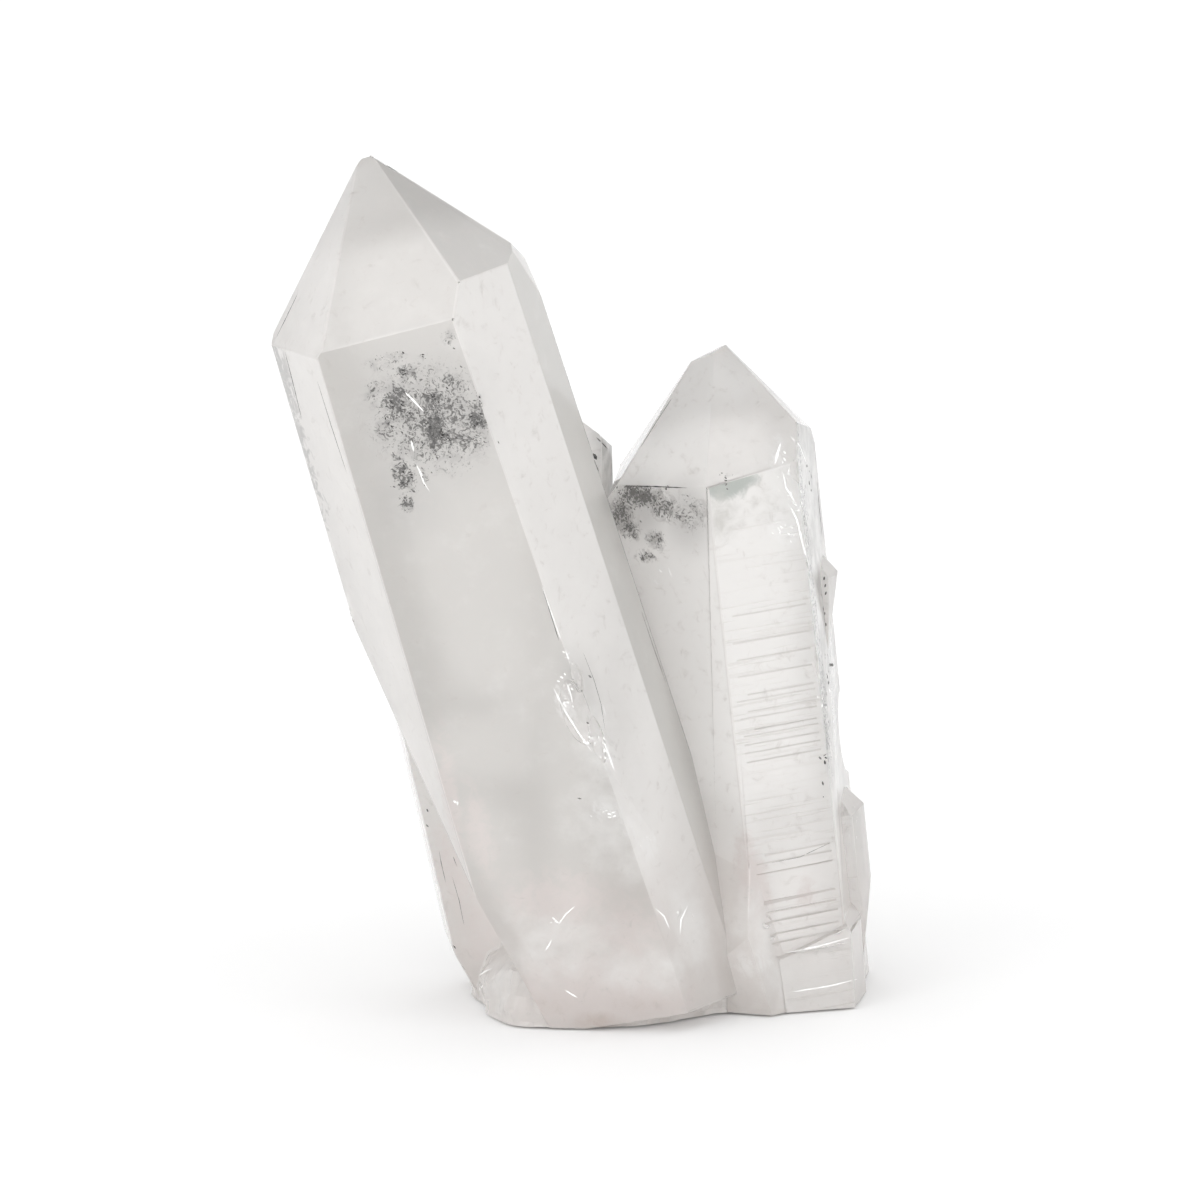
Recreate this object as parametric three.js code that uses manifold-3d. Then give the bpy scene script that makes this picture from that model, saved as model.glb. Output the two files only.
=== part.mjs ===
// A cluster of clear quartz: two large six-sided points that share one foot, with small crystals
// grown against them, broken from its rock and cut flat underneath. Millimetres, +Z up, front at -Y.
import * as THREE from 'three'
import { ConvexGeometry } from 'three/addons/geometries/ConvexGeometry.js'
import { mergeVertices } from 'three/addons/utils/BufferGeometryUtils.js'
import Module from 'manifold-3d'

const wasm = await Module()
wasm.setup()

// Quartz grows as a six-sided prism, and the normal of a tip face makes this angle with its axis.
const TIP_ANGLE = 51.79
const FACE_TURN = 60
// Solids run this far below the cut face at z = 0 before they are cut.
const BELOW = 3

// Each crystal is given by where its axis leaves the cut face (foot), where its tip faces would
// meet (apex), how far its front face is turned to the right (turn, degrees), and six sides,
// counted from the front one to the right. A side's out is its distance from the axis at the
// foot, narrows is how many degrees it leans inwards going up, lift is how far above the apex
// its tip face would meet the axis, and skew turns that tip face. Flanks are further faces along
// the prism. Extra faces pass through a point: a grown one is given by its azimuth and its angle
// from the axis, and a broken one by the direction that it faces.
const LEFT_POINT = {
  foot: [2.4, -1.0, 0],
  apex: [-25.6, -14.6, 98.2],
  turn: -6,
  sides: [
    { out: 13.1, lift: 0.35 },
    { out: 14.7, narrows: 1.7, lift: 1.4, skew: 6 },
    { out: 15.9, narrows: 1.4, lift: 1.6 },
    { out: 12.4, lift: 0.8 },
    { out: 14.4, narrows: 0.75, lift: 1.2 },
    { out: 15.7, narrows: 0.75, lift: 1.6 },
  ],
  flanks: [{ azimuth: 72, out: 15.2, narrows: 1.7 }],
  extra: [
    { azimuth: 84, angle: 81, at: [-6.5, -11, 82.5] },
    { azimuth: -96, angle: 102, at: [-29.0, -7, 47.5] },
    { normal: [0.17, -0.1, -0.98], at: [-1.5, -14, 0] },
  ],
}

const RIGHT_POINT = {
  foot: [21.8, 5.5, 0],
  apex: [13.5, 5.5, 76.2],
  turn: 20,
  sides: [
    { out: 10.4, lift: -1.1, skew: -6 },
    { out: 8.7, lift: 0.3, skew: 10 },
    { out: 11.7, lift: 0.6 },
    { out: 11.5, lift: 0.4 },
    { out: 13.9, lift: 1.9, skew: 10 },
    { out: 11.3, lift: -0.6 },
  ],
  extra: [
    { azimuth: -90, angle: 20, at: [12.6, 5.5, 74.6] },
  ],
}

// Small crystals: one behind the gap between the points, one against the right point, a stub
// low on the right, a broken one low on the left, a leaning one and a broken stub low in front
// of the right point, and short ones at the back.
const SMALL_CRYSTALS = [
  {
    foot: [-1.9, 8.6, 0], apex: [-3.3, 8.0, 71], turn: 14, wide: 4.1,
    extra: [{ normal: [0.6, 0.15, 0.79], at: [0.3, 5, 65] }],
  },
  {
    foot: [24.3, 9.6, 0], apex: [24.0, 9.2, 52.6], turn: 8, wide: 3.4,
    extra: [{ azimuth: 90, angle: 98, at: [27.5, 9, 47.6] }],
  },
  {
    foot: [27.6, 8.4, 0], apex: [24.8, 7.4, 26.8], turn: 12, wide: 4.9,
    extra: [{ azimuth: 90, angle: 104, at: [31.7, 8, 11] }],
  },
  {
    foot: [-8.6, 5.0, 0], apex: [-18.2, 2.2, 44], turn: -22, wide: 7.6,
    extra: [
      { normal: [-0.42, -0.2, 0.88], at: [-22.5, 4, 32.6] },
      { normal: [-0.86, -0.1, -0.5], at: [-18.0, 5, 6.2] },
    ],
  },
  {
    foot: [18.6, -3.4, 0], apex: [6.6, -5.2, 40], turn: -18, wide: 4.3,
    extra: [{ normal: [-0.56, -0.8, 0.22], at: [16.2, -5.5, 19.0] }],
  },
  {
    foot: [23.4, 1.6, 0], apex: [22.6, 1.8, 24], turn: 17,
    sides: [
      { out: 7.6, narrows: 8 }, { out: 7.2, narrows: 3 }, { out: 6 }, { out: 5 }, { out: 7 }, { out: 7.6 },
    ],
    extra: [
      { normal: [-0.16, -0.5, 0.84], at: [26, -5.2, 7.6] },
      { normal: [0.74, -0.2, 0.62], at: [29.5, -2, 8.4] },
      { normal: [0.93, -0.36, 0.08], at: [30.35, -3.0, 3] },
      { normal: [0.72, -0.62, -0.3], at: [30.4, -4.4, 1.6] },
      { normal: [0.2, -0.86, -0.46], at: [26.4, -6.9, 0.9] },
    ],
  },
  {
    foot: [-6.5, 9.5, 0], apex: [-14.5, 7.5, 34], turn: 8, wide: 5.2,
    extra: [{ normal: [0.1, 0.45, 0.89], at: [-13.4, 9, 27.5] }],
  },
  { foot: [7.5, 14.5, 0], apex: [3.4, 19.5, 30], turn: 24, wide: 5.4 },
  { foot: [18.5, 15.0, 0], apex: [19.6, 21.0, 22], turn: -12, wide: 4.6 },
]

// The foot that joins them: its outline seen from above at the cut face, counted from the front
// left, and how far it is drawn in (or swells, where negative) at each height.
const FOOT_OUTLINE = [
  [-9.5, -12.4], [-1.4, -13.6], [7, -11.4], [12, -8.2], [16, -6.2], [21, -5.2], [25.5, -4],
  [28.8, -1.8], [29.8, 3], [29.6, 11], [25, 17.5], [16, 21], [8, 19.5], [1, 15], [-6, 13.5],
  [-12.5, 10.5], [-14.6, 4], [-13.7, -3], [-12, -8.8],
]
const FOOT_LEVELS = [[-BELOW, 0.6], [0, 0], [1.5, -0.2], [3.5, 0.2], [6, 1.3], [8.5, 3.8], [11, 8.4]]
const FOOT_STEPS = 84
const FOOT_ROUGHNESS = 0.75

// Fine steps across the prism faces, as grooves: the crystal and the azimuth of the face that
// they cross, the face's distance from the axis, how long they are, and bands of heights.
const GROOVES = [
  {
    on: RIGHT_POINT, azimuth: 20, out: 10.4, long: 10.4, aside: 1.1,
    bands: [[46.4, 46.4, 1], [43.2, 37.4, 4], [36.4, 29.4, 8], [18.6, 16.2, 3], [13, 6.6, 6]],
  },
  { on: RIGHT_POINT, azimuth: 140, out: 11.7, long: 9, aside: 0.8, bands: [[52, 38, 6], [33, 25, 5]] },
  { on: LEFT_POINT, azimuth: 174, out: 12.4, long: 12, aside: -0.6, bands: [[76, 69, 4], [60, 47, 7]] },
]
const GROOVE_SIZE = 0.34
const GROOVE_DEPTH = 0.16

// Chipped places: stretched balls that bite into an edge. Each is placed by a crystal, an azimuth,
// how far out of the axis and how far along it its middle lies; long is its stretch along the axis.
const BITES = [
  { on: RIGHT_POINT, azimuth: 42, out: 13.6, along: 62.0, radius: 3.0, long: 1.0 },
  { on: RIGHT_POINT, azimuth: 47, out: 13.1, along: 57.5, radius: 2.4, long: 1.7 },
  { on: RIGHT_POINT, azimuth: 38, out: 12.9, along: 51.0, radius: 1.9, long: 1.6 },
  { on: RIGHT_POINT, azimuth: 44, out: 12.7, along: 39.5, radius: 1.9, long: 2.4 },
  { on: RIGHT_POINT, azimuth: 46, out: 12.8, along: 31.0, radius: 2.0, long: 1.8 },
  { on: RIGHT_POINT, azimuth: 116, out: 15.1, along: 28.2, radius: 6.0, long: 1.05 },
  { on: LEFT_POINT, azimuth: 28, out: 16.4, along: 43.8, radius: 1.7, long: 1.9 },
  { on: LEFT_POINT, azimuth: 20, out: 16.3, along: 39.8, radius: 2.4, long: 2.2 },
  { on: LEFT_POINT, azimuth: 28, out: 16.5, along: 36.4, radius: 1.9, long: 2.1 },
  { on: LEFT_POINT, azimuth: 31, out: 16.3, along: 32.0, radius: 1.1, long: 2.2 },
  { on: LEFT_POINT, azimuth: 84, out: 14.6, along: 84.0, radius: 1.2, long: 1.4 },
  { on: LEFT_POINT, azimuth: -96, out: 16.0, along: 54.0, radius: 1.5, long: 1.6 },
  { on: LEFT_POINT, azimuth: 144, out: 16.4, along: 62.0, radius: 2.6, long: 1.8 },
  { on: LEFT_POINT, azimuth: 204, out: 17.4, along: 46.0, radius: 2.6, long: 2.2 },
]

const radians = THREE.MathUtils.degToRad

// A closed three.js geometry as a solid that can be joined and cut.
function solidOf(geometry) {
  const bare = geometry.clone()
  bare.deleteAttribute('normal')
  bare.deleteAttribute('uv')
  const merged = mergeVertices(bare, 1e-4)
  return new wasm.Manifold(new wasm.Mesh({
    numProp: 3,
    vertProperties: new Float32Array(merged.attributes.position.array),
    triVerts: new Uint32Array(merged.index.array),
  }))
}

const joined = (solids) => solids.reduce((whole, next) => whole.add(next))

function meetingPoint(a, b, c) {
  const bc = b.normal.clone().cross(c.normal)
  const spread = a.normal.dot(bc)
  if (Math.abs(spread) < 1e-6) return null
  return bc.multiplyScalar(-a.constant)
    .addScaledVector(c.normal.clone().cross(a.normal), -b.constant)
    .addScaledVector(a.normal.clone().cross(b.normal), -c.constant)
    .divideScalar(spread)
}

// The solid that lies behind every plane.
function solidBehind(planes) {
  const corners = []
  for (let i = 0; i < planes.length; i++) {
    for (let j = i + 1; j < planes.length; j++) {
      for (let k = j + 1; k < planes.length; k++) {
        const corner = meetingPoint(planes[i], planes[j], planes[k])
        if (corner && planes.every((plane) => plane.distanceToPoint(corner) < 1e-6)) corners.push(corner)
      }
    }
  }
  return solidOf(new ConvexGeometry(corners))
}

// A crystal's own directions, and a function that gives the direction at an azimuth and an angle.
function crystalFrame({ foot, apex }) {
  const start = new THREE.Vector3(...foot)
  const tip = new THREE.Vector3(...apex)
  const axis = tip.clone().sub(start).normalize()
  const front = new THREE.Vector3(0, -1, 0).projectOnPlane(axis).normalize()
  const right = axis.clone().cross(front)
  const facing = (azimuth, angle = 90) => front.clone().multiplyScalar(Math.cos(radians(azimuth)))
    .addScaledVector(right, Math.sin(radians(azimuth)))
    .multiplyScalar(Math.sin(radians(angle)))
    .addScaledVector(axis, Math.cos(radians(angle)))
  return { start, tip, axis, facing }
}

function crystalSolid(crystal) {
  const { turn, wide, flanks = [], extra = [] } = crystal
  const sides = crystal.sides ?? Array.from({ length: 6 }, () => ({ out: wide }))
  const { start, tip, axis, facing } = crystalFrame(crystal)
  const plane = (normal, point) => new THREE.Plane().setFromNormalAndCoplanarPoint(normal, point)
  const planes = [plane(new THREE.Vector3(0, 0, -1), new THREE.Vector3(0, 0, -BELOW))]
  const flank = ({ azimuth, out, narrows = 0 }) =>
    plane(facing(azimuth, 90 - narrows), start.clone().addScaledVector(facing(azimuth), out))
  sides.forEach(({ out, narrows, lift = 0, skew = 0 }, i) => {
    const azimuth = turn + i * FACE_TURN
    planes.push(flank({ azimuth, out, narrows }))
    planes.push(plane(facing(azimuth + skew, TIP_ANGLE), tip.clone().addScaledVector(axis, lift)))
  })
  planes.push(...flanks.map(flank))
  extra.forEach(({ azimuth, angle, normal, at }) => {
    const faces = normal ? new THREE.Vector3(...normal).normalize() : facing(azimuth, angle)
    planes.push(plane(faces, new THREE.Vector3(...at)))
  })
  return solidBehind(planes)
}

// A smooth unevenness, between about -1 and 1, for broken surfaces.
function unevenness({ x, y, z }) {
  return 0.5 * Math.sin(0.42 * x + 0.9 * Math.sin(0.31 * z + 0.2 * y))
    + 0.3 * Math.sin(0.83 * y - 0.55 * z + 1.3)
    + 0.2 * Math.sin(1.35 * x + 0.9 * y + 1.1 * z + 0.4)
}

// The foot is a stack of rings, each the outline drawn in towards its middle, closed at both ends.
function footSolid() {
  const outline = new THREE.CatmullRomCurve3(FOOT_OUTLINE.map(([x, y]) => new THREE.Vector3(x, y, 0)), true)
  const rim = outline.getSpacedPoints(FOOT_STEPS).slice(0, FOOT_STEPS)
  const middle = rim.reduce((sum, p) => sum.add(p), new THREE.Vector3()).divideScalar(FOOT_STEPS)
  const points = []
  FOOT_LEVELS.forEach(([height, inset]) => rim.forEach((rimPoint) => {
    const inward = middle.clone().sub(rimPoint).normalize()
    const point = rimPoint.clone().addScaledVector(inward, inset).setZ(height)
    points.push(point.addScaledVector(inward, -FOOT_ROUGHNESS * unevenness(point)))
  }))
  const bottom = points.push(middle.clone().setZ(-BELOW)) - 1
  const top = points.push(middle.clone().setZ(FOOT_LEVELS.at(-1)[0] + 0.8)) - 1
  const faces = []
  const last = (FOOT_LEVELS.length - 1) * FOOT_STEPS
  for (let i = 0; i < FOOT_STEPS; i++) {
    const next = (i + 1) % FOOT_STEPS
    faces.push(bottom, next, i, top, last + i, last + next)
    for (let ring = 0; ring < last; ring += FOOT_STEPS) {
      faces.push(ring + i, ring + next, ring + FOOT_STEPS + next)
      faces.push(ring + i, ring + FOOT_STEPS + next, ring + FOOT_STEPS + i)
    }
  }
  const geometry = new THREE.BufferGeometry().setFromPoints(points)
  geometry.setIndex(faces)
  return solidOf(geometry)
}

// A frame on a crystal's face: X across the face, Y out of it and Z along the axis.
function faceMatrix({ on, azimuth, out, aside = 0 }, along) {
  const { start, axis, facing } = crystalFrame(on)
  const outward = facing(azimuth)
  const across = outward.clone().cross(axis)
  const middle = start.clone().addScaledVector(axis, along).addScaledVector(outward, out)
    .addScaledVector(across, aside)
  return new THREE.Matrix4().makeBasis(across, outward, axis).setPosition(middle)
}

// Each groove is a thin three-sided bar laid across the face with one edge sunk into it.
function grooveSolids(groove) {
  return groove.bands.flatMap(([first, last, count]) => Array.from({ length: count }, (_, i) => {
    const jitter = unevenness({ x: 9 * i, y: first, z: 5 * i })
    const along = THREE.MathUtils.lerp(first, last, count > 1 ? i / (count - 1) : 0) + 0.3 * jitter
    const bar = new THREE.CylinderGeometry(GROOVE_SIZE, GROOVE_SIZE, groove.long * (0.86 + 0.12 * jitter), 3)
      .rotateY(Math.PI).rotateZ(Math.PI / 2)
      .translate(0.5 * jitter, GROOVE_SIZE - GROOVE_DEPTH, 0)
      .applyMatrix4(faceMatrix(groove, along))
    return solidOf(bar)
  }))
}

function biteSolid(bite) {
  const ball = new THREE.IcosahedronGeometry(bite.radius, 3).scale(1, 1, bite.long)
  return solidOf(ball.applyMatrix4(faceMatrix(bite, bite.along)))
}

function quartzCluster() {
  const crystals = [LEFT_POINT, RIGHT_POINT, ...SMALL_CRYSTALS].map(crystalSolid)
  const below = solidOf(new THREE.BoxGeometry(400, 400, 100).translate(0, 0, -50))
  const cuts = [below, ...BITES.map(biteSolid), ...GROOVES.flatMap(grooveSolids)]
  return joined([...crystals, footSolid()]).subtract(joined(cuts))
}

// The solid as a geometry, with the middle of its cut face's box at the origin.
function geometryOf(solid) {
  const mesh = solid.getMesh()
  const geometry = new THREE.BufferGeometry()
  geometry.setAttribute('position', new THREE.BufferAttribute(new Float32Array(mesh.vertProperties), 3))
  geometry.setIndex(new THREE.BufferAttribute(new Uint32Array(mesh.triVerts), 1))
  geometry.computeBoundingBox()
  const centre = geometry.boundingBox.getCenter(new THREE.Vector3())
  return geometry.translate(-centre.x, -centre.y, 0)
}

const quartz = new THREE.MeshStandardMaterial({ color: 0xe4e0dc, roughness: 0.12, metalness: 0 })
const cluster = new THREE.Mesh(geometryOf(quartzCluster()), quartz)
cluster.name = 'quartz_cluster'

const part = new THREE.Group()
part.add(cluster)
export default part
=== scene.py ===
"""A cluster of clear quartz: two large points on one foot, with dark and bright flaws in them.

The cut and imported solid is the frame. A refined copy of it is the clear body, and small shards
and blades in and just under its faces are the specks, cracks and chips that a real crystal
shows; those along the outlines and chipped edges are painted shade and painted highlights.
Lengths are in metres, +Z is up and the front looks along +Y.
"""

import math
import random
from collections import namedtuple

import bmesh
import bpy
from mathutils import Matrix, Vector, noise
from mathutils.bvhtree import BVHTree


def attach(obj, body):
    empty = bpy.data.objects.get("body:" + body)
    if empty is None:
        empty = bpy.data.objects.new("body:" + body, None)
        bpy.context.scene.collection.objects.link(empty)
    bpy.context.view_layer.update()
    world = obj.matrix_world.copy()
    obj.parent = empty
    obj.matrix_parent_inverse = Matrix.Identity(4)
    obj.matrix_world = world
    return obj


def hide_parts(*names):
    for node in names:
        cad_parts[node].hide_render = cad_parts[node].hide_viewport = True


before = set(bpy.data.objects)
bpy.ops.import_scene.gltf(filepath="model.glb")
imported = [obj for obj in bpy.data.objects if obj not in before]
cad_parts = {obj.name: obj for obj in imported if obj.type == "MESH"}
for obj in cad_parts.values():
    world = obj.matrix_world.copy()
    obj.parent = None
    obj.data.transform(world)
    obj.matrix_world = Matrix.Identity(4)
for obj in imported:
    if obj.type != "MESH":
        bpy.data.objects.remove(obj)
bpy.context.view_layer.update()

bl_info = {
    "name": "Clear Quartz Cluster",
    "version": (1, 0, 0),
    "blender": (4, 5, 0),
    "location": "3D View > Sidebar > Quartz",
    "description": "Dresses a packed quartz cluster as clear crystal and sets its studio",
    "category": "Object",
}

NODE = "quartz_cluster"
BODY = "root"
MM = 0.001

# The photograph is square, and pixel places in it are counted from its upper left corner.
PHOTO_SIZE = 1200
SENSOR = 36.0
QUARTZ_IOR = 1.544

# The directions that the two large points grow in, from the foot to the tip.
LEFT_AXIS = Vector((-28.0, -13.6, 98.2)).normalized()
RIGHT_AXIS = Vector((-8.3, 0.0, 76.2)).normalized()
# Faces that carry markings or painted light and shade: the crystal, how far its face is turned
# to the right, and the angle between its normal and the crystal's axis.
SIDE = 90.0
TIP = 51.8
MARKED_FACES = {
    "left_front": (LEFT_AXIS, -6, SIDE),
    "left_bright": (LEFT_AXIS, 54, SIDE),
    "left_flank": (LEFT_AXIS, 72, SIDE),
    "left_side": (LEFT_AXIS, -66, SIDE),
    "left_tip": (LEFT_AXIS, -6, TIP),
    "left_tip_right": (LEFT_AXIS, 60, TIP),
    "right_front": (RIGHT_AXIS, 20, SIDE),
    "right_inner": (RIGHT_AXIS, -40, SIDE),
    "right_side": (RIGHT_AXIS, 80, SIDE),
    "right_tip_left": (RIGHT_AXIS, -40, TIP),
}
# The least cosine between a face's normal and the way that a marked face looks.
FACE_MATCH = 0.984

# A soft ellipse on the surface, as the photograph shows it: its middle and half sizes in
# pixels, how far it is turned clockwise in degrees, and how strong it is.
Patch = namedtuple("Patch", "x y across down turn strength")
# How deep a patch reaches into the crystal from the face that it is on.
PATCH_DEPTH = 5.0 * MM
# A crowd of shards: middle and half sizes in pixels, how many, and the way that they lie in
# degrees below the horizontal.
Crowd = namedtuple("Crowd", "x y across down count flow")
# A slim blade along a line of pixels, with its greatest width in millimetres.
Streak = namedtuple("Streak", "width points")

# Grey clouds with dark wisps in the left point and in the right point's inner and front faces, with
# a greenish glint under the right tip, and painted shade in streaks on the left point's left side.
LEFT_SMEARS = (
    Patch(432, 418, 96, 90, 0, 0.8),
    Patch(396, 400, 28, 30, 20, 1.0),
    Patch(388, 428, 26, 24, 30, 0.8),
    Patch(434, 398, 26, 22, 0, 1.0),
    Patch(435, 430, 24, 40, 0, 1.25),
    Patch(452, 385, 24, 22, 0, 0.8),
    Patch(477, 417, 20, 30, 20, 1.15),
    Patch(462, 440, 44, 22, 8, 0.85),
    Patch(408, 372, 26, 14, 10, 0.8),
    Patch(404, 475, 18, 34, -20, 0.95),
    Patch(406, 502, 14, 18, -10, 0.8),
    Patch(424, 476, 8, 22, -20, 0.6),
    Patch(384, 362, 36, 18, -12, 0.5),
    Patch(449, 338, 20, 14, 0, 0.5),
    Patch(374, 396, 16, 30, 0, 0.6),
)
RIGHT_SMEARS = (
    Patch(640, 496, 66, 22, 0, 1.3),
    Patch(622, 514, 26, 28, 0, 1.15),
    Patch(664, 508, 46, 24, 5, 0.95),
    Patch(690, 514, 40, 36, 0, 0.7),
    Patch(630, 530, 20, 20, 0, 1.0),
    Patch(656, 540, 22, 20, 0, 0.8),
    Patch(645, 556, 20, 14, 0, 0.85),
)
RIGHT_FRONT_SMEARS = (
    Patch(722, 516, 38, 44, 0, 0.9),
    Patch(765, 505, 46, 36, 0, 0.45),
)
GREEN_PATCHES = (
    Patch(726, 484, 36, 26, -4, 1.7),
    Patch(742, 478, 26, 16, -6, 1.2),
)
# Painted shade in darker streaks along the left point's left outline.
LEFT_OUTLINE_SHADE = (
    Patch(283, 374, 20, 66, -14, 1.1),
    Patch(298, 430, 20, 80, -16, 0.9),
    Patch(316, 490, 22, 80, -18, 0.7),
)
# Even grey haze round the dark clouds.
HAZE_PATCHES = (
    Patch(432, 420, 110, 110, 0, 0.75),
    Patch(410, 492, 60, 70, -10, 0.5),
    Patch(640, 508, 66, 50, 0, 0.9),
    Patch(688, 516, 56, 56, 0, 0.8),
    Patch(586, 694, 26, 70, -22, 0.8),
)
# Painted highlights: brighter places on the two tips, where they catch the light.
PAINTED_TIP_HIGHLIGHTS = (
    Patch(352, 190, 60, 70, 0, 0.7),
    Patch(726, 380, 60, 50, 0, 1.0),
)
# Bright streaks on chips and breaks, partly painted highlights along the chipped edges.
WHITE_CHIPS_AND_HIGHLIGHTS = (
    Patch(605, 810, 18, 13, 20, 0.9),
    Patch(632, 826, 16, 12, 30, 0.8),
    Patch(648, 846, 16, 18, 0, 0.8),
    Patch(760, 965, 26, 16, 0, 0.6),
    Patch(777, 455, 10, 22, 12, 1.0),
    Patch(795, 500, 16, 22, -10, 1.1),
    Patch(790, 528, 22, 18, 0, 1.2),
    Patch(565, 705, 9, 30, -24, 0.8),
    Patch(606, 752, 9, 26, -20, 0.7),
)
# Soft milky clouds, most of them in the foot.
MILK_PATCHES = (
    Patch(612, 822, 44, 40, 30, 0.9),
    Patch(640, 846, 40, 34, 0, 0.9),
    Patch(690, 925, 70, 50, 10, 1.0),
    Patch(560, 948, 60, 36, 0, 0.8),
    Patch(500, 978, 56, 44, 0, 0.9),
    Patch(640, 970, 70, 26, 0, 0.8),
    Patch(760, 935, 44, 50, 0, 0.8),
    Patch(800, 980, 80, 34, 0, 0.8),
    Patch(598, 740, 24, 60, -20, 0.8),
    Patch(790, 500, 30, 60, 0, 0.9),
)
# Stains low in the cluster.
PINK_PATCHES = (
    Patch(755, 885, 18, 60, -16, 1.0),
    Patch(478, 830, 16, 60, -10, 0.7),
    Patch(450, 800, 12, 90, -8, 0.7),
    Patch(560, 900, 60, 34, 0, 0.8),
    Patch(590, 980, 90, 34, 0, 0.8),
    Patch(540, 1010, 60, 24, 0, 0.8),
    Patch(805, 892, 12, 20, 0, 0.6),
    Patch(622, 930, 44, 40, 0, 0.7),
    Patch(455, 870, 24, 60, -10, 0.7),
    Patch(480, 930, 26, 44, 0, 0.7),
    Patch(560, 935, 30, 12, 0, 0.6),
    Patch(600, 1000, 120, 36, 0, 1.0),
)
BROWN_PATCHES = (
    Patch(598, 1022, 46, 18, 0, 1.3),
    Patch(640, 1006, 60, 20, 0, 0.6),
    Patch(545, 1004, 44, 22, 0, 0.6),
)

# Dark specks inside the points, painted shade in dark specks along the outlines, and bright flakes that
# are partly painted highlights on chipped edges.
LEFT_SPECKS = (
    Crowd(396, 391, 6, 5, 34, 40),
    Crowd(393, 403, 5, 6, 36, 80),
    Crowd(403, 405, 8, 9, 44, 0),
    Crowd(399, 413, 11, 5, 30, 10),
    Crowd(434, 397, 10, 7, 54, 40),
    Crowd(440, 406, 9, 5, 34, 50),
    Crowd(433, 418, 10, 6, 70, 70),
    Crowd(435, 431, 9, 11, 180, 60),
    Crowd(434, 449, 7, 7, 48, 50),
    Crowd(449, 380, 7, 6, 22, 60),
    Crowd(453, 404, 5, 4, 20, 40),
    Crowd(461, 407, 3, 2, 9, 40),
    Crowd(480, 403, 3, 9, 34, 66),
    Crowd(474, 417, 7, 4, 44, 20),
    Crowd(480, 424, 7, 5, 44, 30),
    Crowd(447, 436, 4, 4, 16, 40),
    Crowd(408, 372, 10, 4, 26, 10),
    Crowd(423, 356, 4, 2, 8, 0),
    Crowd(403, 354, 5, 3, 10, 0),
    Crowd(394, 470, 3, 2, 8, 0),
    Crowd(405, 467, 4, 7, 26, 62),
    Crowd(411, 475, 3, 6, 20, 62),
    Crowd(404, 484, 7, 3, 36, 28),
    Crowd(413, 491, 3, 3, 12, 40),
    Crowd(405, 504, 3, 5, 24, 75),
    Crowd(396, 455, 6, 4, 12, 60),
    Crowd(424, 475, 2, 8, 18, 72),
    Crowd(371, 388, 5, 6, 12, 30),
    Crowd(388, 425, 8, 6, 26, 60),
    Crowd(460, 440, 9, 7, 18, 35),
    Crowd(478, 440, 8, 10, 22, 50),
    Crowd(450, 338, 4, 4, 6, 0),
    Crowd(430, 420, 50, 55, 120, 50),
)
RIGHT_SPECKS = (
    Crowd(632, 490, 18, 4, 40, 0),
    Crowd(663, 489, 7, 4, 20, 30),
    Crowd(622, 503, 9, 9, 32, 50),
    Crowd(650, 502, 22, 6, 30, 20),
    Crowd(628, 525, 9, 5, 26, 20),
    Crowd(656, 537, 5, 6, 14, 50),
    Crowd(644, 557, 5, 3, 12, 0),
    Crowd(726, 484, 12, 7, 24, -10),
    Crowd(724, 475, 10, 2, 14, -8),
)
# Painted shade in dark specks along the outlines.
OUTLINE_SHADE_SPECKS = (
    Crowd(823, 600, 3, 22, 14, 86),
    Crowd(827, 664, 3, 26, 14, 84),
    Crowd(825, 762, 4, 26, 10, 76),
    Crowd(811, 470, 4, 30, 8, 84),
    Crowd(428, 828, 4, 22, 4, 72),
)
# Bright flakes, partly painted highlights on the chipped edges.
FLAKES_AND_CHIP_HIGHLIGHTS = (
    Crowd(568, 655, 5, 10, 18, 60),
    Crowd(566, 700, 8, 18, 30, 60),
    Crowd(588, 742, 9, 10, 26, 50),
    Crowd(604, 748, 5, 12, 16, 70),
    Crowd(785, 470, 8, 26, 30, 70),
    Crowd(797, 503, 10, 8, 36, 40),
    Crowd(788, 530, 10, 12, 30, 60),
    Crowd(605, 812, 10, 7, 18, 10),
    Crowd(646, 842, 8, 10, 16, 40),
    Crowd(684, 922, 14, 12, 22, 60),
    Crowd(556, 922, 5, 3, 8, 20),
    Crowd(823, 700, 5, 30, 30, 80),
    Crowd(655, 575, 20, 8, 8, 60),
    Crowd(455, 800, 3, 10, 10, 80),
    Crowd(855, 830, 6, 60, 24, 80),
    Crowd(478, 985, 6, 5, 10, 30),
)

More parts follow.
